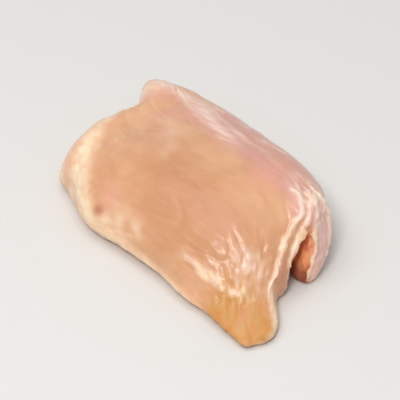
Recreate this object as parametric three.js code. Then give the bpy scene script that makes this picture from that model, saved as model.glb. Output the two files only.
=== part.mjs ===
import * as THREE from 'three';

// A raw chicken thigh without skin or bone, lying folded on its cut side.
// It is one thick sheet of meat. Its far side is tucked under along the whole length, so the
// underside shows a seam. At one end the seam opens into a narrow slit between the layers, and
// the near layer runs out there in a thin tongue. The other end is folded round, with a knob.
// Frame: X runs along the thigh to the tongue, Y across it from the thin near side to the
// thick far side, and Z up. The origin is under the middle of the thigh, on the plane z = 0
// that it rests on. All sizes are in millimetres.

// Cross-sections, at right angles to X. near and far are the edges of the section, nearZ and
// farZ their heights, crown and crownZ the place and height of the top, nearPower and farPower
// how full the slopes are on each side of it, and slit and slitDepth the seam in the underside.
const SECTIONS = [
  {
    x: -34, near: -33.0, nearZ: 5.4, nearPower: 2.3, crown: -7, crownZ: 21.9,
    far: 25.6, farZ: 12.9, farPower: 2.5, slit: -1.0, slitDepth: 3.9,
  },
  {
    x: -18, near: -37.3, nearZ: 5.9, nearPower: 2.1, crown: -6, crownZ: 25.9,
    far: 27.3, farZ: 12.9, farPower: 2.5, slit: 1.5, slitDepth: 4.4,
  },
  {
    x: 0, near: -33.5, nearZ: 5.9, nearPower: 2.0, crown: -4, crownZ: 28.4,
    far: 28.3, farZ: 12.9, farPower: 2.5, slit: 3.0, slitDepth: 5.4,
  },
  {
    x: 15, near: -31.2, nearZ: 5.4, nearPower: 1.9, crown: 1, crownZ: 29.2,
    far: 29.0, farZ: 12.9, farPower: 2.5, slit: 2.5, slitDepth: 8.4,
  },
  {
    x: 27, near: -30.8, nearZ: 4.4, nearPower: 1.75, crown: 7, crownZ: 28.4,
    far: 27.8, farZ: 12.4, farPower: 2.4, slit: 2.5, slitDepth: 14.4,
  },
];
const UNDER_POWER = 3.2;
const SLIT_HALF_WIDTH = 1.3;
const SLIT_LIP_RADIUS = 3.0;
const SLIT_LEAN = 0.4;

// The weight of the meat presses the lowest part of this height flat.
const PRESSED = 0.4;

// Where the named places of a ring lie along it, as shares of the way round.
const AT = { far: 0, crown: 0.2125, near: 0.475, nearLip: 0.6375, slitTop: 0.75, farLip: 0.875 };

// The last ring is the edge of the layers at the open end: points from each named place on,
// evenly shared out to the next one.
const OPEN_END = {
  // up the tucked far layer
  far: [[42.5, 18.0, 9.9], [38.8, 21.3, 16.4], [35.5, 21.8, 21.9], [36.3, 18.0, 25.4]],
  // over the top, down the edge of the near layer and out along the tongue
  crown: [
    [38.0, 12.5, 25.7], [38.8, 5.3, 21.5], [41.3, 1.1, 17.7], [43.7, -2.7, 13.8],
    [46.4, -8.0, 10.8], [50.5, -11.0, 7.7], [55.6, -13.9, 5.5], [58.6, -19.5, 3.9],
  ],
  // from the tip of the tongue back along its foot
  near: [[55.6, -28.6, 2.2], [58.3, -19.5, 0.5], [55.0, -13.0, 0.4], [49.5, -9.7, 0.4], [45.0, -5.6, 0.4]],
  // up the near wall of the slit
  nearLip: [[44.9, -1.8, 0.6], [43.6, -0.4, 6.3], [43.0, 2.4, 12.7], [41.8, 7.2, 18.0]],
  // down its far wall to the tip of the far layer
  slitTop: [[41.0, 10.8, 20.7], [42.8, 12.2, 16.9], [44.6, 10.2, 12.4], [45.6, 7.2, 6.4]],
  // back along the foot of the far layer
  farLip: [[45.4, 5.2, 0.4], [44.6, 10.2, 1.2], [44.4, 14.5, 4.9]],
};

// The cut edge between the outline and the slit bulges by size, less where it is narrower than
// fullWidth, and it stands out and back in waves.
const EDGE_BULGE = { size: 1.0, fullWidth: 8 };
const RAGGED = { size: 0.5, waves: 11 };

// Between the last section and the open end the near layer slopes down to the tongue, swelling.
const SLOPE = { at: 0.37, width: 0.09, swell: 2.2 };

// The folded end is the first section drawn in towards a point, with a knob on the far side and
// a notch beside it.
const FOLD = { depth: 14, power: 2.8, y: -6, z: 9.4, lean: 0.06, steps: 5 };
const KNOB = { y: 15.2, reach: 10.5, width: 7.9 };
const NOTCH = { y: 1.5, depth: 2.0, width: 4.5 };

// How fine the faces are.
const POINTS_AROUND = 80;
const RINGS_PER_FOLD_STEP = 3;
const RINGS_PER_SECTION = 5;
const EDGE_ROWS = 3;

const mix = (a, b, t) => a + (b - a) * t;
const share = (a, b, x) => (x - a) / (b - a);
const bell = (t) => Math.exp(-t * t);
const smooth = (t) => THREE.MathUtils.smoothstep(t, 0, 1);

// A quarter of a superellipse, from (1, 0) at t = 0 to (0, 1) at t = 1.
function quarter(t, power) {
  const angle = (t * Math.PI) / 2;
  return [Math.cos(angle) ** (2 / power), Math.sin(angle) ** (2 / power)];
}

// One side of the slit: how far from its middle and how high, from its lip at t = 0 to its top
// at t = 1. It has a rounded lip, a straight wall and a rounded top.
function slitWall(t, depth) {
  const wallFrom = 0.4;
  const wallTo = 0.75;
  const rounded = SLIT_LIP_RADIUS + SLIT_HALF_WIDTH;
  const full = Math.max(depth, rounded + 0.5);
  const squash = depth / full;
  if (t < wallFrom) {
    const angle = (share(0, wallFrom, t) * Math.PI) / 2;
    const out = SLIT_HALF_WIDTH + SLIT_LIP_RADIUS * (1 - Math.sin(angle));
    return [out, squash * SLIT_LIP_RADIUS * (1 - Math.cos(angle))];
  }
  if (t < wallTo) {
    const up = mix(SLIT_LIP_RADIUS, full - SLIT_HALF_WIDTH, share(wallFrom, wallTo, t));
    return [SLIT_HALF_WIDTH, squash * up];
  }
  const angle = (share(wallTo, 1, t) * Math.PI) / 2;
  const up = full - SLIT_HALF_WIDTH * (1 - Math.sin(angle));
  return [SLIT_HALF_WIDTH * Math.cos(angle), squash * up];
}

// The point [y, z] of a section at share q of the way round.
function sectionPoint(s, q) {
  const lipReach = SLIT_LIP_RADIUS + SLIT_HALF_WIDTH;
  if (q < AT.crown) {
    const [c, u] = quarter(share(AT.far, AT.crown, q), s.farPower);
    return [mix(s.crown, s.far, c), mix(s.farZ, s.crownZ, u)];
  }
  if (q < AT.near) {
    const [c, u] = quarter(share(AT.crown, AT.near, q), s.nearPower);
    return [mix(s.crown, s.near, u), mix(s.nearZ, s.crownZ, c)];
  }
  if (q < AT.nearLip) {
    const [c, u] = quarter(share(AT.near, AT.nearLip, q), UNDER_POWER);
    return [mix(s.slit - lipReach, s.near, c), s.nearZ * (1 - u)];
  }
  if (q < AT.slitTop) {
    const [out, up] = slitWall(share(AT.nearLip, AT.slitTop, q), s.slitDepth);
    return [s.slit + SLIT_LEAN * up - out, up];
  }
  if (q < AT.farLip) {
    const [out, up] = slitWall(share(AT.farLip, AT.slitTop, q), s.slitDepth);
    return [s.slit + SLIT_LEAN * up + out, up];
  }
  const [c, u] = quarter(share(AT.farLip, 1, q), UNDER_POWER);
  return [mix(s.slit + lipReach, s.far, u), s.farZ * (1 - c)];
}

function ringOfSection(s, q) {
  const [y, z] = sectionPoint(s, q);
  return new THREE.Vector3(s.x, y, z);
}

// A ring of the folded end, which the seam fades out on.
function ringOfFold(step, q) {
  const first = SECTIONS[0];
  const [out, size] = quarter(step / (FOLD.steps + 1), FOLD.power);
  const section = { ...first, slitDepth: first.slitDepth * size * size };
  const [y, z] = sectionPoint(section, q);
  return new THREE.Vector3(first.x - FOLD.depth * out, mix(FOLD.y, y, size), mix(FOLD.z, z, size));
}

// Leans the face of the folded end, draws out its knob and presses in its notch.
function shapeFold(p) {
  const weight = smooth(share(SECTIONS[0].x, SECTIONS[0].x - FOLD.depth, p.x));
  const knob = KNOB.reach * bell((p.y - KNOB.y) / KNOB.width);
  const notch = NOTCH.depth * bell((p.y - NOTCH.y) / NOTCH.width);
  p.x += weight * (FOLD.lean * p.z - knob + notch);
}

// The ring at the open end, as rows of [share of the way round, point].
function openEndRows() {
  const names = Object.keys(AT);
  const rows = [];
  names.forEach((name, n) => {
    const next = n + 1 < names.length ? AT[names[n + 1]] : 1;
    OPEN_END[name].forEach((point, i, all) => {
      rows.push([mix(AT[name], next, i / all.length), new THREE.Vector3(...point)]);
    });
  });
  return rows;
}

// A smooth closed curve through rows of [share of the way round, point].
function closedCurve(rows) {
  const n = rows.length;
  const row = (k) => rows[(k + n) % n];
  const at = (k) => row(k)[0] + Math.floor(k / n);
  const slope = (k) => row(k + 1)[1].clone().sub(row(k - 1)[1]).divideScalar(at(k + 1) - at(k - 1));
  return (q) => {
    const i = rows.findLastIndex((r) => q >= r[0]);
    const span = at(i + 1) - at(i);
    const t = (q - at(i)) / span;
    const p = row(i)[1].clone().lerp(row(i + 1)[1], t * t * (3 - 2 * t));
    p.addScaledVector(slope(i), span * t * (1 - t) * (1 - t));
    p.addScaledVector(slope(i + 1), -span * t * t * (1 - t));
    return p;
  };
}

const openEnd = closedCurve(openEndRows());

function ringOfSlope(q) {
  const last = SECTIONS[SECTIONS.length - 1];
  const p = ringOfSection(last, q).lerp(openEnd(q), 0.5);
  p.z += SLOPE.swell * bell((q - SLOPE.at) / SLOPE.width);
  return p;
}

// The line along the surface at share q of the way round, from the folded end to the open one.
function meridian(q) {
  const points = [];
  for (let step = 0; step <= FOLD.steps; step += 1) {
    points.push(ringOfFold(step, q));
  }
  for (const s of SECTIONS) {
    points.push(ringOfSection(s, q));
  }
  points.push(ringOfSlope(q));
  points.push(openEnd(q));
  return new THREE.CatmullRomCurve3(points, false, 'centripetal');
}

// Where the rings of faces lie along a meridian, from the first after the point to the last.
function ringPlaces() {
  const spans = meridian(0).points.length - 1;
  const places = [];
  for (let span = 0; span < spans; span += 1) {
    const count = span <= FOLD.steps ? RINGS_PER_FOLD_STEP : RINGS_PER_SECTION;
    for (let i = 1; i <= count; i += 1) {
      places.push((span + i / count) / spans);
    }
  }
  return places;
}

// Vertices and faces of the solid.
class Shell {
  constructor() {
    this.positions = [];
    this.index = [];
  }

  add(p) {
    this.positions.push(p.x, p.y, Math.max(p.z - PRESSED, 0));
    return this.positions.length / 3 - 1;
  }

  place(v) {
    return new THREE.Vector3().fromArray(this.positions, v * 3);
  }

  // A four-sided face, split along its shorter diagonal.
  quad(a, b, c, d) {
    if (this.place(a).distanceTo(this.place(c)) < this.place(b).distanceTo(this.place(d))) {
      this.index.push(a, b, c, a, c, d);
    } else {
      this.index.push(a, b, d, b, c, d);
    }
  }

  // Fills the strip between two rows of [share along the row, vertex] with the same end vertices.
  stitch(a, b) {
    let i = 0;
    let j = 0;
    while (i < a.length - 1 || j < b.length - 1) {
      const stepA = j === b.length - 1 || (i < a.length - 1 && a[i + 1][0] <= b[j + 1][0]);
      const corners = [a[i][1], stepA ? a[i + 1][1] : b[j + 1][1], b[j][1]];
      if (stepA) {
        i += 1;
      } else {
        j += 1;
      }
      if (new Set(corners).size === corners.length) {
        this.index.push(...corners);
      }
    }
  }

  geometry() {
    const geometry = new THREE.BufferGeometry();
    geometry.setAttribute('position', new THREE.Float32BufferAttribute(this.positions, 3));
    geometry.setIndex(this.index);
    geometry.computeVertexNormals();
    return geometry;
  }
}

// How far the edge of the layers stands out or back at share q of the way round.
function ragged(q) {
  const turn = 2 * Math.PI * RAGGED.waves * q;
  return RAGGED.size * (Math.sin(turn) + 0.5 * Math.sin(1.7 * turn + 1));
}

// The outer surface with the slit, as rings of vertices. Returns the last ring.
function addSides(shell) {
  const meridians = [];
  for (let j = 0; j < POINTS_AROUND; j += 1) {
    meridians.push(meridian(j / POINTS_AROUND));
  }
  const start = meridians[0].getPoint(0);
  shapeFold(start);
  const pole = shell.add(start);
  let ring = null;
  for (const place of ringPlaces()) {
    const next = meridians.map((m, j) => {
      const p = m.getPoint(place);
      shapeFold(p);
      p.x += place === 1 ? ragged(j / POINTS_AROUND) : 0;
      return shell.add(p);
    });
    for (let j = 0; j < POINTS_AROUND; j += 1) {
      const k = (j + 1) % POINTS_AROUND;
      if (ring === null) {
        shell.index.push(pole, next[k], next[j]);
      } else {
        shell.quad(ring[j], ring[k], next[k], next[j]);
      }
    }
    ring = next;
  }
  return ring;
}

// The vertices of the last ring from one place to another, backwards if the second comes first,
// each with its share of the way.
function stretch(rim, from, to) {
  const start = Math.round(from * rim.length);
  const count = Math.round(Math.abs(to - from) * rim.length);
  const way = Math.sign(to - from);
  const row = [];
  for (let i = 0; i <= count; i += 1) {
    row.push([i / count, rim[(start + way * i + rim.length) % rim.length]]);
  }
  return row;
}

// Two stretches end to end, the second one's shares counted on from 1.
function join(first, second) {
  return [...first, ...second.slice(1).map(([s, v]) => [s + 1, v])];
}

// The cut edge of the layers: a strip from the tip of the far layer, over the top of the slit,
// to the tip of the tongue, between the outer outline and the walls of the slit.
function addOpenEnd(shell, rim) {
  const outer = join(stretch(rim, AT.farLip, 1 + AT.crown), stretch(rim, AT.crown, AT.near));
  const inner = join(stretch(rim, AT.farLip, AT.slitTop), stretch(rim, AT.slitTop, AT.near));
  const innerPlace = (s) => {
    const i = Math.min(inner.findLastIndex((entry) => s >= entry[0]), inner.length - 2);
    const t = share(inner[i][0], inner[i + 1][0], s);
    return shell.place(inner[i][1]).lerp(shell.place(inner[i + 1][1]), t);
  };
  let row = outer;
  for (let r = 1; r <= EDGE_ROWS; r += 1) {
    const u = r / (EDGE_ROWS + 1);
    const next = outer.map(([s, v], k) => {
      if (k === 0 || k === outer.length - 1) {
        return [s, v];
      }
      const p = shell.place(v);
      const target = innerPlace(s);
      const fullness = Math.min(p.distanceTo(target) / EDGE_BULGE.fullWidth, 1);
      p.lerp(target, u);
      p.x += EDGE_BULGE.size * fullness * 4 * u * (1 - u);
      p.z += PRESSED;
      return [s, shell.add(p)];
    });
    shell.stitch(row, next);
    row = next;
  }
  shell.stitch(row, inner);
}

function buildThigh() {
  const shell = new Shell();
  addOpenEnd(shell, addSides(shell));
  const geometry = shell.geometry();
  geometry.computeBoundingBox();
  const middle = geometry.boundingBox.getCenter(new THREE.Vector3());
  geometry.translate(-middle.x, -middle.y, 0);
  return geometry;
}

const meat = new THREE.MeshStandardMaterial({ color: 0xe0a67f, roughness: 0.4, metalness: 0 });

const thigh = new THREE.Mesh(buildThigh(), meat);
thigh.name = 'thigh';

const part = new THREE.Group();
part.add(thigh);

export default part;
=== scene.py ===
"""The looks of a raw chicken thigh without skin or bone, folded under itself.

The surface of the solid is copied as small even faces and rounded off. Torn strands are laid along
the edges of the open end and melt into it, and then the surface is shaped: soft swells, wrinkles,
lobes of fat, and the tendon along the far shoulder. Lengths are in millimetres until the mesh is
made, in the frame of the solid: X runs along the thigh to its tongue, Y to the thick far side, and
Z up.
"""

import math

import bmesh
import bpy
import numpy as np
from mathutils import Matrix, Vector


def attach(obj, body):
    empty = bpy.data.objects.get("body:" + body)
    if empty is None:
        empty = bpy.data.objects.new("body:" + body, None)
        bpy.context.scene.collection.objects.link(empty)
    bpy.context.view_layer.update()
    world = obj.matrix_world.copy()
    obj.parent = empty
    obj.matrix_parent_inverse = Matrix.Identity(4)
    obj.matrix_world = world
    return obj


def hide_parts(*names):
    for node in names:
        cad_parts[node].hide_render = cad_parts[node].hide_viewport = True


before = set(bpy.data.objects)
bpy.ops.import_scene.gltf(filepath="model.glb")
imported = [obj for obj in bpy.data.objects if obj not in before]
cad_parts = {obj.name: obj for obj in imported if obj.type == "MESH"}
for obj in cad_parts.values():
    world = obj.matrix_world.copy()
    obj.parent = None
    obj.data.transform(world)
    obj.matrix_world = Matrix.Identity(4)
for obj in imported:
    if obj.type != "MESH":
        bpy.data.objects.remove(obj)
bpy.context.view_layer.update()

MM = 0.001

# ---------------------------------------------------------------- sizes and places

# The size of the even faces.
VOXEL = 0.5
# Where along X the edges of the open end begin to be softened, and where they are in full.
OPEN_END = (28.0, 38.0)
# Smoothing passes of the bare solid, of its open end, and of the solid with its strands.
BLANK_PASSES = 8
OPEN_END_PASSES = 14
STRANDS_PASSES = 5

# The band of fat from the knob round the folded end and along the near side: its middle, and at
# each place its half width and how thick it covers the flesh.
FAT_BAND = [
    (-50.0, 9.0, 13.0), (-44.0, -2.0, 19.0), (-42.5, -9.0, 19.8), (-39.5, -15.0, 18.6),
    (-36.8, -20.0, 17.0), (-33.0, -24.8, 15.0), (-27.5, -28.6, 12.8), (-21.5, -31.4, 10.2),
    (-15.3, -32.2, 8.0), (-9.0, -30.8, 6.6), (-2.0, -29.4, 5.9), (5.0, -28.2, 5.4),
    (14.0, -27.5, 5.0), (24.0, -27.0, 4.6), (34.0, -26.8, 4.0),
]
FAT_BAND_HALF = [1.2, 1.6, 2.2, 3.2, 4.0, 4.2, 4.0, 4.0, 3.6, 2.8, 2.1, 1.7, 1.4, 1.3, 1.2]
FAT_BAND_COVER = [0.2, 0.3, 0.5, 0.8, 1, 1, 1, 1, 0.95, 0.85, 0.8, 0.75, 0.7, 0.65, 0.6]

# Pale strips of tendon along the far shoulder: middle line and half width.
TENDON = [
    ([(-52.0, 14.0, 18.0), (-47.7, 19.2, 19.0), (-42.7, 20.7, 19.3), (-38.2, 21.7, 19.2),
      (-31.5, 21.8, 20.1), (-20.9, 19.2, 23.3), (-14.1, 17.5, 24.9), (-8.3, 16.5, 26.0),
      (-2.8, 15.6, 26.8), (4.8, 14.9, 27.7)], 2.6),
    ([(-40.0, 18.6, 20.3), (-31.0, 18.6, 21.6), (-22.0, 16.4, 24.0), (-14.0, 14.6, 25.6)], 1.0),
    ([(-30.0, 23.0, 19.0), (-19.0, 22.0, 22.0), (-8.0, 20.6, 24.6), (3.0, 20.0, 26.0)], 1.1),
]

# The torn edges at the open end, all from the far corner: the near layer's outer edge down to the
# tongue, its edge at the slit, the far layer's edge at the slit, and the far layer's outer edge.
NEAR_EDGE = [
    (24.0, 16.0, 27.6), (30.0, 17.0, 26.8), (36.3, 14.1, 24.4), (36.9, 10.0, 21.8),
    (38.6, 5.4, 18.6), (40.6, 1.6, 15.2), (43.1, -1.9, 12.2), (45.8, -6.6, 9.4),
    (48.4, -8.2, 7.8),
]
NEAR_SLIT_EDGE = [
    (28.0, 19.0, 27.0), (33.0, 19.2, 26.2), (38.1, 16.1, 24.0), (39.2, 12.1, 20.5),
    (40.4, 8.1, 16.6), (42.2, 4.8, 12.9), (43.5, 3.0, 7.9), (44.4, 1.8, 3.4), (44.8, 1.2, 1.0),
]
FAR_SLIT_EDGE = [
    (30.0, 21.0, 26.2), (35.4, 20.6, 25.0), (39.6, 17.4, 20.5), (41.4, 15.9, 16.5),
    (43.0, 14.2, 12.0), (44.2, 11.4, 6.0), (44.4, 9.4, 1.2),
]
FAR_EDGE = [
    (27.0, 22.5, 26.0), (32.2, 23.4, 25.0), (35.0, 24.4, 22.7), (37.1, 25.0, 17.5),
    (40.2, 22.4, 12.5), (42.6, 19.2, 7.4), (44.2, 15.4, 3.4), (44.8, 11.6, 1.0),
]
EDGES = [NEAR_EDGE, NEAR_SLIT_EDGE, FAR_SLIT_EDGE, FAR_EDGE]
# Each edge has one long strand and two shorter ones beside it: the share of the edge where the
# strand starts and ends, its radius, and how far it strays.
EDGE_STRANDS = [
    (0.08, 1.00, 0.72, 0.35), (0.00, 0.45, 0.50, 1.2), (0.30, 0.80, 0.34, 0.9),
]
STRAND_STEP = 0.7
STRAND_SIDES = 8

# A soft ridge on the top that is a little paler.
RIDGE = [
    (-31.3, 9.3, 22.1), (-19.5, 3.3, 25.4), (-13.3, -2.3, 26.5), (-11.1, -7.5, 26.4),
    (-10.5, -11.7, 25.9),
]
# Seams between the muscles, on the far side as X and Z and on the folded end as Y and Z.
FAR_SEAMS = [
    [(-44.0, 15.0), (-27.0, 13.5), (-8.0, 8.5), (12.0, 7.0), (30.0, 2.5)],
    [(-18.0, 21.0), (0.0, 15.5), (18.0, 13.5), (34.0, 14.5)],
]
END_SEAMS = [
    [(-22.0, 3.0), (-13.0, 8.5), (-4.0, 9.5), (3.0, 5.0)],
    [(8.0, 13.0), (16.0, 8.0), (24.0, 9.5)],
]
# A pale edge down the far side of the tongue to its tip, and its half width.
TONGUE_EDGE = [
    (44.7, -4.6, 10.3), (46.5, -5.6, 9.0), (48.9, -7.1, 7.7), (52.4, -9.0, 5.9), (54.3, -10.1, 4.8),
    (56.1, -12.2, 3.4), (57.0, -14.3, 2.5), (56.9, -17.1, 2.1),
]
TONGUE_EDGE_HALF = 1.3
# A pinker streak down the middle of the tongue, where its yellow fat is thin, and its half width.
TONGUE_STREAK = [(45.5, -11.8, 8.9), (47.5, -16.1, 6.8), (48.4, -18.7, 5.4), (50.0, -21.5, 3.8)]
TONGUE_STREAK_HALF = 2.2
# Pink patches, pale patches and one brown spot of painted shade in a soft crease: middle and radius.
PINK_PATCHES = [
    ((-31.0, 9.0, 22.0), 5.5), ((-13.5, -27.5, 17.0), 4.0), ((-40.5, -25.5, 13.0), 4.0),
    ((-4.0, -30.4, 6.0), 4.5), ((-21.0, 2.0, 24.9), 3.5), ((18.0, 13.0, 27.6), 6.0),
    ((-43.0, 15.0, 20.3), 5.0), ((48.0, -17.5, 6.0), 3.0),
]
PALE_PATCHES = [
    ((-10.0, -30.2, 12.2), 3.0), ((-6.0, -28.6, 13.4), 4.5), ((0.4, -27.1, 13.5), 3.5),
    ((-51.0, 13.5, 17.5), 3.5), ((-47.5, 17.5, 19.3), 3.0), ((-41.0, -27.5, 8.0), 4.5),
    ((-34.0, -29.2, 7.0), 4.5),
]
CREASE_SHADE_SPOT = ((-14.7, -30.9, 12.7), 2.2)
# Patches of milky membrane with painted highlight on the slope above the tongue: middle line and
# half width.
MEMBRANE_AND_PAINTED_HIGHLIGHT_PATCHES = [
    ([(19.5, -22.4, 15.6), (25.0, -21.6, 14.6), (30.0, -20.4, 13.3), (34.7, -18.6, 11.8)], 1.8),
    ([(31.5, -9.6, 18.5), (35.5, -8.6, 16.9), (39.0, -8.6, 14.4), (42.0, -11.8, 11.2)], 4.4),
    ([(34.7, -18.6, 11.8), (38.6, -17.6, 10.3), (41.0, -15.4, 10.0)], 1.6),
]
# Ellipses seen from above, as the middle's X and Y and the half widths along X and Y: the pale
# membrane on the far corner of the open end, the yellow fat of the tongue, the deeper peach of the
# top, and a lighter spot in it.
FAR_CORNER = (31, 21, 9, 6)
TONGUE_FAT = (49, -20, 14, 11)
DEEP_PATCH = (10, -9, 32, 19)
LIGHT_SPOT = (4, 2, 12, 7)
# A round patch of membrane low on the folded end: the middle's Y and Z, and the radius.
END_VEIL = (-12, 11, 9)

# The slit's middle at z = 0 for some places along X, how high it reaches there and how it leans.
SLIT_X = [-34.0, -18.0, 0.0, 15.0, 27.0, 43.0]
SLIT_Y = [3.1, 5.6, 7.1, 6.6, 6.6, 5.9]
SLIT_TOP = [4.0, 4.6, 5.6, 8.6, 14.6, 21.0]
SLIT_LEAN = 0.45

# ---------------------------------------------------------------- colours, in sRGB from 0 to 255

PEACH = (196, 131, 85)
PEACH_PALE = (236, 185, 142)
PEACH_DEEP = (198, 131, 88)
PINK = (232, 165, 140)
LILAC = (217, 158, 144)
FLAP = (240, 200, 190)
CREAM = (255, 229, 194)
WHITE = (253, 224, 205)
SINEW = (238, 186, 168)
# Milky membrane and the painted highlight on it.
MEMBRANE_AND_PAINTED_HIGHLIGHT = (250, 215, 196)
YELLOW = (204, 146, 66)
ORANGE = (210, 140, 68)
FAT_GROOVE = (249, 212, 172)
FLESH = (200, 130, 92)
BROWN = (184, 100, 66)
FLESH_RED = (255, 172, 122)
# Redder meat in the slit, darkened as painted shade lower down and further in.
SHADED_DEEP_RED = (230, 142, 104)
# Painted shade at the bottom of the slit's mouth.
PIT_SHADE_RED = (104, 40, 16)


def linear(rgb):
    """A colour given as 0 to 255 in sRGB, as linear red, green, blue and alpha."""
    shares = [c / 255 for c in rgb]
    return [s / 12.92 if s <= 0.04045 else ((s + 0.055) / 1.055) ** 2.4 for s in shares] + [1.0]


# ---------------------------------------------------------------- fields over the surface


def smooth(low, high, x):
    """0 below low, 1 above high and a smooth step between them."""
    t = np.clip((x - low) / (high - low), 0, 1)
    return t * t * (3 - 2 * t)


def bell(x):
    return np.exp(-x * x)


def hashed(cells, seed):
    """A random number from 0 to 1 for each whole-numbered cell, the same each run."""
    h = cells[:, 0] * 374761393 + cells[:, 1] * 668265263 + cells[:, 2] * 2147483647 + seed * 144665
    h = (h ^ (h >> 13)) * 1274126177
    h = (h ^ (h >> 16)) & 0xFFFFFF
    return h / 0xFFFFFF


def noise(points, size, seed):
    """Smooth noise from about -1 to 1 with lumps of that size, which may differ by axis."""
    q = points / np.asarray(size, float)
    cell = np.floor(q).astype(np.int64)
    part = q - cell
    ease = part * part * part * (part * (part * 6 - 15) + 10)
    total = np.zeros(len(q))
    for corner in np.ndindex(2, 2, 2):
        at = cell + corner
        turn = hashed(at, seed) * 2 * math.pi
        rise = hashed(at, seed + 101) * 2 - 1
        flat = np.sqrt(1 - rise * rise)
        slope = np.stack([flat * np.cos(turn), flat * np.sin(turn), rise], 1)
        weight = np.prod(np.where(corner, ease, 1 - ease), 1)
        total += weight * ((part - corner) * slope).sum(1)
    return total * 1.5


def layered(points, size, seed):
    """Noise with finer noise on it."""
    total = np.zeros(len(points))
    for k in range(3):
        total += noise(points, np.asarray(size, float) / 2**k, seed + 17 * k) / 2**k
    return total / 1.4


def lobes(points, size, seed):
    """Rounded lobes of about that size: 1 on top of each and 0 in the grooves between them."""
    q = points / np.asarray(size, float)
    cell = np.floor(q).astype(np.int64)
    nearest = np.full(len(q), 9.0)
    for step in np.ndindex(3, 3, 3):
        at = cell + step - 1
        middle = at + 0.1 + 0.8 * np.stack([hashed(at, seed + k) for k in range(3)], 1)
        nearest = np.minimum(nearest, ((q - middle) ** 2).sum(1))
    return np.clip(1 - nearest, 0, 1)


def to_line(points, line, reach=8.0):
    """Each point's distance to a line, up to a reach, and its share of the way along the line."""
    line = np.array(line, float)
    lengths = np.linalg.norm(np.diff(line, axis=0), axis=1)
    starts = np.concatenate([[0], np.cumsum(lengths)])
    best = np.full(len(points), 99.0)
    along = np.zeros(len(points))
    inside = (points > line.min(0) - reach) & (points < line.max(0) + reach)
    picked = np.flatnonzero(inside.all(1))
    p = points[picked]
    for a, b, start, length in zip(line[:-1], line[1:], starts, lengths):
        t = np.clip((p - a) @ (b - a) / length**2, 0, 1)
        away = np.linalg.norm(p - a - t[:, None] * (b - a), axis=1)
        closer = away < best[picked]
        best[picked] = np.where(closer, away, best[picked])
        along[picked] = np.where(closer, start + t * length, along[picked])
    return best, along / starts[-1]


def ways_of(line):
    """How far along a line each of its places is."""
    lengths = np.linalg.norm(np.diff(np.array(line, float), axis=0), axis=1)
    return np.concatenate([[0], np.cumsum(lengths)])


def along_line(share, line, values):
    """The value at a share of the way along a line, from those at its places."""
    ways = ways_of(line)
    return np.interp(share * ways[-1], ways, values)


def out_from(ellipse, points):
    """How far out each point is, seen from above: 0 at an ellipse's middle and 1 on its edge."""
    middle_x, middle_y, half_x, half_y = ellipse
    return np.hypot((points[:, 0] - middle_x) / half_x, (points[:, 1] - middle_y) / half_y)


def stretch_of(line, start, end, step):
    """Evenly spaced places on a line between two shares of its length, with its bends eased."""
    line = np.array(line, float)
    ways = ways_of(line)
    count = max(4, round((end - start) * ways[-1] / step))
    at = np.linspace(start, end, count) * ways[-1]
    places = np.stack([np.interp(at, ways, line[:, k]) for k in range(3)], 1)
    for _ in range(2):
        places[1:-1] = (places[:-2] + 2 * places[1:-1] + places[2:]) / 4
    return places


# ---------------------------------------------------------------- the mesh


def copied(node, name):
    """An object with a copy of the node's mesh, with doubled vertices merged."""
    mesh = node.data.copy()
    bm = bmesh.new()
    bm.from_mesh(mesh)
    bmesh.ops.remove_doubles(bm, verts=bm.verts, dist=0.01 * MM)
    bm.to_mesh(mesh)
    bm.free()
    mesh.materials.clear()
    obj = bpy.data.objects.new(name, mesh)
    bpy.context.scene.collection.objects.link(obj)
    return obj


def make_even(obj, rounding=0):
    """Gives the object a mesh of small even faces, after some levels of subdivision."""
    if rounding:
        obj.modifiers.new("rounding", "SUBSURF").levels = rounding
    even = obj.modifiers.new("even", "REMESH")
    even.mode = "VOXEL"
    even.voxel_size = VOXEL * MM
    evaluated = obj.evaluated_get(bpy.context.evaluated_depsgraph_get())
    fine = bpy.data.meshes.new_from_object(evaluated)
    obj.modifiers.clear()
    obj.data = fine


def drop_crumbs(mesh):
    """Deletes the crumbs that the thinnest strands break into, and keeps the one large shell."""
    bm = bmesh.new()
    bm.from_mesh(mesh)
    left = set(bm.verts)
    shells = []
    while left:
        start = left.pop()
        shell = [start]
        to_visit = [start]
        while to_visit:
            edges = to_visit.pop().link_edges
            found = {vert for edge in edges for vert in edge.verts} & left
            left -= found
            shell.extend(found)
            to_visit.extend(found)
        shells.append(shell)
    largest = max(shells, key=len)
    for shell in shells:
        if shell is not largest:
            bmesh.ops.delete(bm, geom=shell, context="VERTS")
    bm.to_mesh(mesh)
    bm.free()


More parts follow.
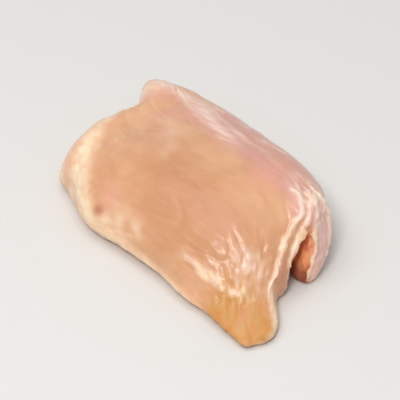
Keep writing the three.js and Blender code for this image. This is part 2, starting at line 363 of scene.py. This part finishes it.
class Surface:
    """The places and quads of an object's mesh."""

    def __init__(self, obj):
        mesh = obj.data
        places = np.zeros(len(mesh.vertices) * 3)
        mesh.vertices.foreach_get("co", places)
        corners = np.zeros(len(mesh.loops), np.int64)
        mesh.loops.foreach_get("vertex_index", corners)
        self.mesh = mesh
        self.p = places.reshape(-1, 3) / MM
        self.quads = corners.reshape(-1, 4)
        ring = np.concatenate([self.quads[:, [k, (k + 1) % 4]] for k in range(4)])
        self.a, self.b = ring[:, 0], ring[:, 1]
        self.count = np.bincount(self.a, minlength=len(self.p))

    def neighbours(self, values):
        """The mean of each vertex's neighbours."""
        columns = [np.bincount(self.a, column, len(self.p)) for column in values[self.b].T]
        return np.stack(columns, 1) / self.count[:, None]

    def blurred(self, values, passes):
        for _ in range(passes):
            values = self.neighbours(values)
        return values

    def smooth(self, passes):
        """Smooths the places without shrinking them."""
        for _ in range(passes):
            self.p = self.p + 0.6 * (self.neighbours(self.p) - self.p)
            self.p = self.p - 0.62 * (self.neighbours(self.p) - self.p)

    def soften(self, weight, passes):
        """Blurs the places where the weight is 1, which rounds the edges there."""
        self.p += weight[:, None] * (self.blurred(self.p, passes) - self.p)

    def normals(self):
        corner = self.p[self.quads]
        face = np.cross(corner[:, 2] - corner[:, 0], corner[:, 3] - corner[:, 1])
        columns = [
            sum(np.bincount(self.quads[:, c], face[:, k], len(self.p)) for c in range(4))
            for k in range(3)
        ]
        total = np.stack(columns, 1)
        return total / np.linalg.norm(total, axis=1)[:, None]

    def write(self):
        self.mesh.vertices.foreach_set("co", (self.p * MM).astype(np.float32).ravel())
        self.mesh.update()


def plan_strands():
    """The middle lines and radii of the torn strands at the open end."""
    strands = []
    for e, edge in enumerate(EDGES):
        for k, (start, end, radius, stray) in enumerate(EDGE_STRANDS):
            line = stretch_of(edge, start, end, STRAND_STEP)
            seed = 200 + 10 * e + k
            share = np.linspace(0, 1, len(line))
            for axis in range(3):
                line[:, axis] += stray * noise(line, 8.0, seed + 50 * axis)
                line[:, axis] += 0.15 * noise(line, 2.2, seed + 50 * axis + 7)
            radii = radius * (1 + 0.6 * noise(line, 3.0, seed + 3))
            radii *= 0.2 + 0.8 * smooth(0, 0.3, share) * (1 - 0.9 * smooth(0.6, 1, share))
            line[:, 2] = np.maximum(line[:, 2], radii)
            strands.append((line, radii))
    return strands


def add_tube(bm, line, radii):
    """A closed tube round a line."""
    sides = STRAND_SIDES
    forward = np.gradient(line, axis=0)
    forward /= np.linalg.norm(forward, axis=1)[:, None]
    across = np.cross(forward, (0.6, -0.5, 0.2))
    across /= np.linalg.norm(across, axis=1)[:, None]
    upward = np.cross(across, forward)
    rings = []
    for middle, radius, s, u in zip(line, radii, across, upward):
        turns = [2 * math.pi * k / sides for k in range(sides)]
        ring = [middle + radius * (math.cos(a) * s + math.sin(a) * u) for a in turns]
        rings.append([bm.verts.new(place * MM) for place in ring])
    for low, high in zip(rings[:-1], rings[1:]):
        for k in range(sides):
            bm.faces.new((low[k], low[(k + 1) % sides], high[(k + 1) % sides], high[k]))
    bm.faces.new(rings[0][::-1])
    bm.faces.new(rings[-1])


def add_strands(obj, strands):
    bm = bmesh.new()
    bm.from_mesh(obj.data)
    for line, radii in strands:
        add_tube(bm, line, radii)
    bmesh.ops.recalc_face_normals(bm, faces=bm.faces)
    bm.to_mesh(obj.data)
    bm.free()


def flow_of(p):
    """Places with the thigh's width evened out along X, so that what runs along X follows it."""
    slots = 40
    reach = 3
    x, y, _ = p.T
    bounds = np.linspace(x.min(), x.max(), slots + 1)
    slot = np.digitize(x, bounds[1:-1])
    low = np.array([y[slot == k].min() for k in range(slots)])
    high = np.array([y[slot == k].max() for k in range(slots)])
    kernel = np.ones(2 * reach + 1) / (2 * reach + 1)
    low = np.convolve(np.pad(low, reach, "edge"), kernel, "valid")
    high = np.convolve(np.pad(high, reach, "edge"), kernel, "valid")
    middles = (bounds[1:] + bounds[:-1]) / 2
    centre = np.interp(x, middles, (low + high) / 2)
    half = np.interp(x, middles, (high - low) / 2)
    flow = p.copy()
    flow[:, 1] = (y - centre) / (0.35 * half + 0.65 * half.max()) * half.max()
    return flow


# ---------------------------------------------------------------- where each kind of tissue is, and painted highlight and shade


class Ground:
    """The surface's places and normals, and what most of the masks share."""

    def __init__(self, p, n):
        x, y, z = p.T
        self.p = p
        self.n = n
        self.flow = flow_of(p)
        self.wobble = layered(p, 7, 3)
        self.fine = layered(p, 2.6, 31)
        # The wrinkles of the slope above the tongue, which the milky membrane and its painted
        # highlight follow.
        self.wrinkle = noise(self.flow, (12, 2.4, 2.4), 7)
        # How far each place is from the slit's middle, towards the far side.
        self.side = y - (np.interp(x, SLIT_X, SLIT_Y) + SLIT_LEAN * z)
        self.far_side = smooth(0.1, 0.5, n[:, 1]) * smooth(-1, 1, self.side)
        self.folded_end = smooth(0.1, 0.5, -n[:, 0]) * (1 - smooth(-30, -24, x))


def fat_band(g):
    d, share = to_line(g.p, FAT_BAND, 10)
    half = along_line(share, FAT_BAND, FAT_BAND_HALF)
    cover = along_line(share, FAT_BAND, FAT_BAND_COVER) * (1 + 0.3 * g.wobble)
    return (1 - smooth(0.0, 1.9, d / half + 0.4 * g.wobble + 0.3 * g.fine)) * cover


def tendon_strips(g):
    mask = np.zeros(len(g.p))
    streaks = noise(g.flow, (10, 0.9, 0.9), 11)
    for line, half in TENDON:
        d, share = to_line(g.p, line)
        ends = smooth(0, 0.1, share) * (1 - smooth(0.75, 1, share))
        strip = 1 - smooth(0.1, 1.7, d / half + 0.45 * streaks + 0.3 * g.wobble)
        mask = np.maximum(mask, strip * ends)
    return mask


def slit_walls(g):
    """The slit's walls and roof, their inside that is redder and has painted shade lower down and
    deeper in, their raw meat, and the painted shade of the dark pit below.
    """
    x, _, z = g.p.T
    inward = -np.sign(g.side) * g.n[:, 1]
    away = np.abs(g.side)
    walls = smooth(0.1, 0.5, inward) * (1 - smooth(4.5, 6, away))
    roof = smooth(0.2, 0.6, -g.n[:, 2]) * (1 - smooth(2, 3.5, away)) * smooth(1.5, 2.5, z)
    below = np.interp(x, SLIT_X, SLIT_TOP) - z
    slit = np.maximum(walls, roof) * smooth(-3, 0, below) * (1 - smooth(43.5, 45, x))
    mouth = smooth(20, 34, x)
    low = z + 2 * g.wobble
    # Redder meat and painted shade, deeper in the slit and lower down.
    inside = np.maximum(1 - smooth(32, 39, x), 1 - smooth(1, 8, low))
    inside *= slit * (0.15 + 0.85 * mouth)
    raw = slit * (0.45 + 0.55 * mouth)
    # Painted shade, darkest at the bottom of the slit's mouth.
    pit_shade = slit * (1 - smooth(0.5, 9.5, low)) * mouth
    return {"slit": slit, "inside": inside, "raw": raw, "pit_shade": pit_shade}


def cut_faces(g, outside):
    """The faces on the near and the far side of the slit at the open end."""
    x, y, _ = g.p.T
    facing = smooth(31, 35, x) * smooth(0.5, 0.85, g.n[:, 0])
    near = facing * (1 - smooth(-1, 1, g.side)) * smooth(-5, -1, y)
    far = smooth(-1, 1, g.side) * smooth(30, 38, x + 0.35 * (y - 18))
    return {"near_cut": near * outside, "far_cut": far * outside}


def torn_strands(g, strands):
    mask = np.zeros(len(g.p))
    for line, radii in strands:
        d, share = to_line(g.p, line, 3)
        radius = np.interp(share, np.linspace(0, 1, len(radii)), radii)
        mask = np.maximum(mask, 1 - smooth(0.6, 2.2, d / radius + 0.6 * g.fine))
    return mask * (0.65 + 0.35 * smooth(-0.3, 0.2, g.wobble))


def far_corner(g):
    edge = out_from(FAR_CORNER, g.p) + 0.3 * g.wobble
    streaks = smooth(-0.25, 0.4, noise(g.flow, (8, 1.3, 1.3), 15))
    return (1 - smooth(0.4, 1.4, edge)) * smooth(14, 20, g.p[:, 2]) * streaks


def yellow_fat(g):
    mask = 1 - smooth(0.6, 1.25, out_from(TONGUE_FAT, g.p) + 0.3 * g.wobble + 0.1 * g.fine)
    d, _ = to_line(g.p, TONGUE_STREAK)
    return mask * (1 - 0.22 * bell(d / TONGUE_STREAK_HALF + 0.4 * g.fine))


def lilac_membrane(g):
    x, y, z = g.p.T
    far = smooth(9, 16, y + 3 * g.wobble) * smooth(-46, -14, x)
    return far * smooth(5, 14, z + 4 * g.wobble)


def deep_peach(g):
    mask = bell(out_from(DEEP_PATCH, g.p)) * smooth(5, 15, g.p[:, 2])
    return mask * (1 - 0.6 * bell(out_from(LIGHT_SPOT, g.p)))


def round_patches(g, patches):
    mask = np.zeros(len(g.p))
    for place, radius in patches:
        away = np.linalg.norm(g.p - np.array(place), axis=1)
        mask = np.maximum(mask, bell(away / radius + 0.35 * g.wobble + 0.15 * g.fine))
    return mask


def ridge(g):
    d, share = to_line(g.p, RIDGE)
    fade = smooth(0, 0.2, share) * (1 - smooth(0.8, 1, share))
    return fade * bell((d + 1.5 * g.wobble) / 2.6)


def muscle_seams(g):
    """The seams between the muscles on the far side and the folded end, and the fat in them."""
    seam = np.zeros(len(g.p))
    seam_fat = np.zeros(len(g.p))
    clumps = smooth(-0.1, 0.5, noise(g.flow, (12, 6, 6), 45))
    above_floor = smooth(1, 3, g.p[:, 2])
    sides = [(FAR_SEAMS, [0, 2], g.far_side), (END_SEAMS, [1, 2], g.folded_end)]
    for lines, axes, shown in sides:
        for line in lines:
            d, share = to_line(g.p[:, axes], line)
            fade = shown * smooth(0, 0.2, share) * (1 - smooth(0.8, 1, share)) * above_floor
            d = np.abs(d + 1.2 * g.wobble)
            seam = np.maximum(seam, fade * bell(d / 1.1))
            seam_fat = np.maximum(seam_fat, fade * bell(d / 2.4 + 0.3 * g.fine) * clumps)
    return {"seam": seam, "seam_fat": seam_fat}


def veil(g):
    """Thin membrane round the knob and low on the folded end."""
    x, y, z = g.p.T
    knob = (1 - smooth(-55, -38, x + 7 * g.wobble)) * smooth(-3, 12, y + 6 * g.wobble)
    middle_y, middle_z, radius = END_VEIL
    low = 0.8 * bell(np.hypot(y - middle_y, z - middle_z) / radius) * g.folded_end
    uneven = smooth(2, 8, z) * (0.7 + 0.5 * noise(g.p, (6, 6, 10), 46))
    return np.maximum(knob, low) * uneven


def pale_rim(g, outside):
    """The pale edge round the foot of the open end and down the far side of the tongue."""
    x, _, z = g.p.T
    foot = smooth(26, 42, x) * (1 - smooth(0.6, 2.8, z + g.wobble)) * outside
    d, share = to_line(g.p, TONGUE_EDGE)
    edge = 1 - smooth(0.2, 1.6, d / TONGUE_EDGE_HALF + 0.5 * g.fine)
    edge *= 1 - smooth(0.85, 1, share)
    return np.maximum(foot, edge) * smooth(-0.6, 0.0, g.n[:, 2])


def membrane_and_painted_highlight_mask(g):
    # Milky membrane on the slope, painted palest along the wrinkles' tops as a painted highlight.
    mask = np.zeros(len(g.p))
    ragged = 0.6 * g.wobble + 0.5 * noise(g.flow, (7, 1.5, 1.5), 48)
    for line, half in MEMBRANE_AND_PAINTED_HIGHLIGHT_PATCHES:
        d, share = to_line(g.p, line)
        fade = smooth(-0.15, 0.35, share)
        mask = np.maximum(mask, fade * (1 - smooth(0.1, 1.5, d / half + ragged)))
    return mask * smooth(-0.70, 0.20, g.wrinkle)


def under_fat(g, outside):
    patches = smooth(0.0, 0.6, layered(g.flow, (20, 8, 8), 43))
    return patches * smooth(0.2, 0.8, -g.n[:, 2]) * outside


def find_masks(g, strands):
    """Where each kind of tissue is, and where highlight and shade are painted, from 0 to 1."""
    m = {"band": fat_band(g), "tendon": tendon_strips(g)}
    m |= slit_walls(g)
    outside = 1 - m["slit"]
    m |= cut_faces(g, outside)
    m["strand"] = torn_strands(g, strands)
    m["corner"] = far_corner(g)
    m["yellow"] = yellow_fat(g)
    m["lilac"] = lilac_membrane(g)
    m["deep"] = deep_peach(g)
    m["pink"] = round_patches(g, PINK_PATCHES)
    m["pale"] = round_patches(g, PALE_PATCHES) * smooth(-0.7, 0.3, noise(g.p, 4.5, 49))
    # Painted shade of a soft crease.
    m["crease_shade"] = round_patches(g, [CREASE_SHADE_SPOT])
    m["ridge"] = ridge(g)
    m |= muscle_seams(g)
    m["flank"] = np.maximum(g.far_side, g.folded_end)
    m["veil"] = veil(g)
    m["rim"] = pale_rim(g, outside)
    m["lobes"] = lobes(g.p + 1.2 * np.stack([g.wobble, g.fine, g.wobble], 1), (5.0, 3.2, 3.2), 5)
    m["groove"] = bell(noise(g.flow, (45, 9, 11), 41) / 0.07) * outside
    m["membrane_and_painted_highlight"] = membrane_and_painted_highlight_mask(g)
    m["under_fat"] = under_fat(g, outside)
    return m


# ---------------------------------------------------------------- the relief


def slope_above_tongue(p):
    x, y, z = p.T
    slope = smooth(15, 22, x) * (1 - smooth(43, 48, x)) * smooth(-30, -24, y)
    slope *= 1 - smooth(-2, 5, y) * smooth(30, 36, x + y)
    return slope * (1 - smooth(17, 24, z))


def relief(g, m):
    """How far each vertex moves out along its normal."""
    p = g.p
    flow = g.flow
    cut = np.maximum(m["near_cut"], m["far_cut"])
    calm = 1 - np.maximum(m["slit"], cut)

    lift = calm * (0.40 * noise(p, 21, 1) + 0.25 * noise(flow, (16, 8, 8), 2))
    lift += calm * (0.08 * noise(flow, (7, 2.6, 2.6), 4) + 0.03 * noise(flow, (3, 1.1, 1.1), 18))
    lift += m["flank"] * calm * 0.80 * noise(p, (20, 12, 10), 47)
    lift -= 0.18 * m["groove"] + 0.75 * m["seam"]
    lift += 0.12 * m["ridge"] + m["seam_fat"] * (0.25 + 0.30 * m["lobes"])
    lift += m["band"] * (0.15 + 0.75 * m["lobes"])
    lift += m["tendon"] * (0.30 + 0.15 * noise(flow, (8, 0.9, 0.9), 6))
    lift += m["corner"] * 0.35
    lift += m["veil"] * 0.20 * noise(p, 3, 44)
    lift += slope_above_tongue(p) * (0.40 * g.wrinkle + 0.03 * noise(flow, (4, 1.3, 1.3), 17))
    lift += m["yellow"] * (0.10 + 0.20 * lobes(flow, (5.5, 3.6, 3.6), 8) + 0.05 * noise(p, 1.8, 9))
    lift += m["rim"] * 0.40 * noise(p, 2.6, 50)
    lift += m["strand"] * 0.25 * noise(p, 1.6, 10)
    lift += cut * (0.40 * noise(p, (2.6, 1.8, 5.0), 12) + 0.20 * noise(p, 1.3, 19))
    lift += m["slit"] * (0.60 * noise(p, (6, 3.0, 4.0), 13) + 0.25 * noise(p, 2.0, 23))
    # The slit's walls swell towards each other at its mouth, which narrows it.
    lift += m["slit"] * 0.9 * smooth(30, 36, p[:, 0]) * (1 - smooth(39, 43, p[:, 0]))
    return lift


def shape(surface, strands):
    """Moves the vertices for all relief, and returns the masks and the flow."""
    ground = Ground(surface.p, surface.normals())
    masks = find_masks(ground, strands)
    surface.p = ground.p + ground.n * relief(ground, masks)[:, None]
    surface.p[:, 2] = np.maximum(surface.p[:, 2], 0)
    return masks, ground.flow


def add_attributes(mesh, masks, flow):
    for name, values in masks.items():
        attribute = mesh.attributes.new(name, "FLOAT", "POINT")
        attribute.data.foreach_set("value", np.clip(values, 0, 1).astype(np.float32))
    attribute = mesh.attributes.new("flow", "FLOAT_VECTOR", "POINT")
    attribute.data.foreach_set("vector", (flow * MM).astype(np.float32).ravel())
    mesh.polygons.foreach_set("use_smooth", np.ones(len(mesh.polygons), bool))
    mesh.update()


# ---------------------------------------------------------------- the material


class Nodes:
    """Short ways to add and link the nodes of one material."""

    def __init__(self, name):
        self.material = bpy.data.materials.new(name)
        self.material.use_nodes = True
        self.tree = self.material.node_tree
        self.tree.nodes.clear()

    def add(self, kind, **values):
        node = self.tree.nodes.new(kind)
        for key, value in values.items():
            setattr(node, key, value)
        return node

    def put(self, socket, value):
        """Links a socket to another, or sets its value."""
        if isinstance(value, bpy.types.NodeSocket):
            self.tree.links.new(value, socket)
        else:
            socket.default_value = value

    def math(self, operation, a, b):
        node = self.add("ShaderNodeMath", operation=operation)
        self.put(node.inputs[0], a)
        self.put(node.inputs[1], b)
        return node.outputs[0]

    def mask(self, name, share=1.0):
        """A share of one of the mesh's masks."""
        fac = self.add("ShaderNodeAttribute", attribute_name=name).outputs["Fac"]
        return self.math("MULTIPLY", fac, share)

    def mix(self, share, a, b):
        """A mix of two colours, each a socket or an sRGB colour."""
        node = self.add("ShaderNodeMix", data_type="RGBA")
        self.put(node.inputs["Factor"], share)
        for socket, colour in ((node.inputs[6], a), (node.inputs[7], b)):
            self.put(socket, colour if isinstance(colour, bpy.types.NodeSocket) else linear(colour))
        return node.outputs[2]

    def ramp(self, value, low, high, to_low=0.0, to_high=1.0):
        """value from low to high, as a smooth step from to_low to to_high."""
        node = self.add("ShaderNodeMapRange", interpolation_type="SMOOTHSTEP")
        for socket, number in zip(node.inputs, (value, low, high, to_low, to_high)):
            self.put(socket, number)
        return node.outputs[0]

    def noise(self, size_mm, stretch=(1, 1, 1), detail=3, distortion=0.0, offset=0.0):
        """Noise with lumps of that size, longer along an axis of the flow by its stretch."""
        mapping = self.add("ShaderNodeMapping")
        flow = self.add("ShaderNodeAttribute", attribute_name="flow").outputs["Vector"]
        self.put(mapping.inputs["Vector"], flow)
        mapping.inputs["Scale"].default_value = [1 / (size_mm * MM * s) for s in stretch]
        mapping.inputs["Location"].default_value = (offset, offset, offset)
        texture = self.add("ShaderNodeTexNoise")
        self.put(texture.inputs["Vector"], mapping.outputs[0])
        texture.inputs["Scale"].default_value = 1
        texture.inputs["Detail"].default_value = detail
        texture.inputs["Distortion"].default_value = distortion
        return texture.outputs["Fac"]


def meat_colour(t, fibres):
    """The colour of the meat, from the flesh outwards to what lies on it, with some painted
    highlight and shade.
    """
    broad = t.ramp(t.noise(15, detail=2), 0.35, 0.65)
    mottle = t.ramp(t.noise(4.5, stretch=(1.6, 1, 1), detail=4, offset=3.1), 0.35, 0.7)
    specks = t.ramp(t.noise(1.6, detail=2, offset=7.7), 0.62, 0.78)
    rosy = t.ramp(t.noise(9, detail=3, offset=5.3), 0.5, 0.72)

    colour = t.mix(t.math("MULTIPLY", broad, 0.35), PEACH_PALE, PEACH)
    colour = t.mix(t.mask("deep", 0.85), colour, PEACH)
    colour = t.mix(t.math("MULTIPLY", mottle, 0.22), colour, PEACH_DEEP)
    colour = t.mix(t.math("MULTIPLY", rosy, 0.2), colour, PINK)
    colour = t.mix(t.math("MULTIPLY", fibres, 0.06), colour, PEACH_PALE)
    colour = t.mix(t.mask("lilac", 0.85), colour, LILAC)
    colour = t.mix(t.mask("pink", 0.7), colour, PINK)
    colour = t.mix(t.math("MULTIPLY", specks, 0.12), colour, PEACH_DEEP)
    colour = t.mix(t.mask("groove", 0.10), colour, PINK)
    streaks = t.noise(4, stretch=(3.5, 1, 1), detail=4, distortion=0.4, offset=6.1)
    streaks = t.ramp(streaks, 0.5, 0.68)
    colour = t.mix(t.math("MULTIPLY", streaks, t.mask("flank", 0.45)), colour, CREAM)
    colour = t.mix(t.mask("seam", 0.35), colour, BROWN)
    colour = t.mix(t.mask("seam_fat", 0.7), colour, CREAM)
    colour = t.mix(t.mask("ridge", 0.18), colour, CREAM)
    fat = t.mix(t.ramp(t.noise(4, detail=3), 0.4, 0.6), YELLOW, ORANGE)
    colour = t.mix(t.mask("yellow", 0.9), colour, fat)
    blotches = t.ramp(t.noise(2.2, stretch=(1.8, 1, 1), detail=4, offset=1.9), 0.35, 0.6, 0.4, 0.82)
    # Milky membrane and painted highlight on the slope above the tongue.
    membrane_and_painted_highlight = t.mix(t.ramp(t.noise(3.5, offset=2.7), 0.42, 0.58), CREAM, MEMBRANE_AND_PAINTED_HIGHLIGHT)
    colour = t.mix(t.math("MULTIPLY", t.mask("membrane_and_painted_highlight"), blotches), colour, membrane_and_painted_highlight)
    colour = t.mix(t.mask("pale", 0.5), colour, CREAM)
    colour = t.mix(t.mask("near_cut", 0.6), colour, FLESH)
    membrane = t.mix(t.math("MULTIPLY", mottle, 0.6), FLAP, LILAC)
    colour = t.mix(t.mask("far_cut", 0.7), colour, membrane)
    colour = t.mix(t.mask("under_fat", 0.6), colour, CREAM)
    lobe = t.ramp(t.mask("lobes"), 0.45, 0.85)
    colour = t.mix(t.mask("rim", 0.7), colour, CREAM)
    colour = t.mix(t.mask("band", 0.95), colour, t.mix(lobe, FAT_GROOVE, CREAM))
    sinews = t.ramp(t.noise(1.3, stretch=(9, 1, 1), detail=3, offset=4.4), 0.35, 0.65)
    colour = t.mix(t.mask("tendon", 0.8), colour, t.mix(sinews, SINEW, WHITE))
    colour = t.mix(t.mask("corner", 0.6), colour, WHITE)
    colour = t.mix(t.mask("veil", 0.5), colour, WHITE)
    # Painted shade of a soft crease, as a brown spot.
    colour = t.mix(t.mask("crease_shade", 0.7), colour, BROWN)
    raw = t.ramp(t.noise(2.6, stretch=(1, 1, 2.2), detail=4, distortion=0.5, offset=8.8), 0.4, 0.62)
    colour = t.mix(t.mask("raw"), colour, t.mix(t.math("MULTIPLY", raw, 0.65), FLESH_RED, BROWN))
    # Redder meat in the slit, with painted shade lower down and further in.
    colour = t.mix(t.mask("inside", 0.9), colour, SHADED_DEEP_RED)
    # Painted shade at the bottom of the slit's mouth.
    colour = t.mix(t.mask("pit_shade", 0.8), colour, PIT_SHADE_RED)
    return t.mix(t.mask("strand", 0.8), colour, t.mix(mottle, CREAM, WHITE))


def meat_material():
    t = Nodes("raw_meat")
    fibres = t.ramp(t.noise(1.0, stretch=(11, 1, 1.4), detail=4, distortion=0.3), 0.3, 0.75)

    shader = t.add("ShaderNodeBsdfPrincipled")
    t.put(shader.inputs["Base Color"], meat_colour(t, fibres))
    uneven = t.noise(2.2, detail=4, offset=9.4)
    t.put(shader.inputs["Roughness"], t.ramp(uneven, 0.3, 0.7, 0.38, 0.52))
    shader.inputs["IOR"].default_value = 1.4
    shader.inputs["Subsurface Weight"].default_value = 0.3
    shader.inputs["Subsurface Radius"].default_value = (1.0, 0.4, 0.2)
    shader.inputs["Subsurface Scale"].default_value = 0.003
    dry = t.math("MAXIMUM", t.mask("yellow", 0.55), t.mask("slit", 0.6))
    t.put(shader.inputs["Coat Weight"], t.math("SUBTRACT", 0.75, dry))
    shader.inputs["Coat Roughness"].default_value = 0.2
    shader.inputs["Coat IOR"].default_value = 1.36

    bump = t.add("ShaderNodeBump")
    bump.inputs["Strength"].default_value = 0.35
    bump.inputs["Distance"].default_value = 0.00025
    grain = t.math("MULTIPLY", fibres, 0.4)
    t.put(bump.inputs["Height"], t.math("ADD", grain, t.noise(0.9, detail=4, offset=2.2)))
    t.put(shader.inputs["Normal"], bump.outputs[0])

    output = t.add("ShaderNodeOutputMaterial")
    t.put(output.inputs["Surface"], shader.outputs[0])
    return t.material


def make_thigh():
    obj = copied(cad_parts["thigh"], "thigh_meat")
    make_even(obj, rounding=2)
    blank = Surface(obj)
    blank.smooth(BLANK_PASSES)
    blank.soften(smooth(*OPEN_END, blank.p[:, 0]), OPEN_END_PASSES)
    blank.write()

    strands = plan_strands()
    add_strands(obj, strands)
    make_even(obj)
    drop_crumbs(obj.data)
    surface = Surface(obj)
    surface.smooth(STRANDS_PASSES)
    masks, flow = shape(surface, strands)
    surface.write()
    add_attributes(obj.data, masks, flow)

    obj.data.materials.append(meat_material())
    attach(obj, "root")
    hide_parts("thigh")


# ---------------------------------------------------------------- floor, light and camera, in metres

# Where the camera is, as seen from the place that it aims at, and its focal length in millimetres.
AZIMUTH = math.radians(53.5)
ELEVATION = math.radians(43.4)
DISTANCE = 0.756
AIM = Vector((0.0, 0.0, 0.011))
LENS = 205.0
# The floor is just below the thigh, so that their faces don't share a plane.
FLOOR = (225, 222, 217)
FLOOR_Z = -0.0001


def direction(azimuth, elevation):
    """From the object towards a place at that azimuth and elevation."""
    flat = math.cos(elevation)
    return Vector((math.sin(azimuth) * flat, -math.cos(azimuth) * flat, math.sin(elevation)))


def make_floor():
    bm = bmesh.new()
    bmesh.ops.create_grid(bm, x_segments=1, y_segments=1, size=3)
    mesh = bpy.data.meshes.new("floor")
    bm.to_mesh(mesh)
    bm.free()
    floor = bpy.data.objects.new("floor", mesh)
    bpy.context.scene.collection.objects.link(floor)
    floor.location.z = FLOOR_Z
    t = Nodes("floor")
    shader = t.add("ShaderNodeBsdfPrincipled")
    shader.inputs["Base Color"].default_value = linear(FLOOR)
    shader.inputs["Roughness"].default_value = 0.8
    t.put(t.add("ShaderNodeOutputMaterial").inputs["Surface"], shader.outputs[0])
    mesh.materials.append(t.material)


def make_light(name, towards, distance, size, power):
    data = bpy.data.lights.new(name, "AREA")
    data.shape = "DISK"
    data.size = size
    data.energy = power
    light = bpy.data.objects.new(name, data)
    bpy.context.scene.collection.objects.link(light)
    light.location = AIM + Vector(towards).normalized() * distance
    light.rotation_mode = "QUATERNION"
    light.rotation_quaternion = (AIM - light.location).to_track_quat("-Z", "Y")


def make_camera():
    data = bpy.data.cameras.new("camera")
    data.lens = LENS
    data.clip_start = 0.01
    camera = bpy.data.objects.new("camera", data)
    bpy.context.scene.collection.objects.link(camera)
    camera.location = AIM + direction(AZIMUTH, ELEVATION) * DISTANCE
    camera.rotation_mode = "QUATERNION"
    camera.rotation_quaternion = (AIM - camera.location).to_track_quat("-Z", "Y")
    bpy.context.scene.camera = camera


def make_world():
    world = bpy.data.worlds.new("studio")
    world.use_nodes = True
    background = world.node_tree.nodes["Background"]
    background.inputs["Color"].default_value = (0.92, 0.95, 1.0, 1)
    background.inputs["Strength"].default_value = 0.5
    bpy.context.scene.world = world


bpy.context.scene.view_settings.view_transform = "Standard"
make_camera()
make_world()
make_light("overhead", towards=(-0.1, -0.2, 0.97), distance=0.9, size=0.9, power=3.6)
make_light("key", towards=(0.35, -0.46, 0.81), distance=0.9, size=0.24, power=2.8)
make_floor()
make_thigh()
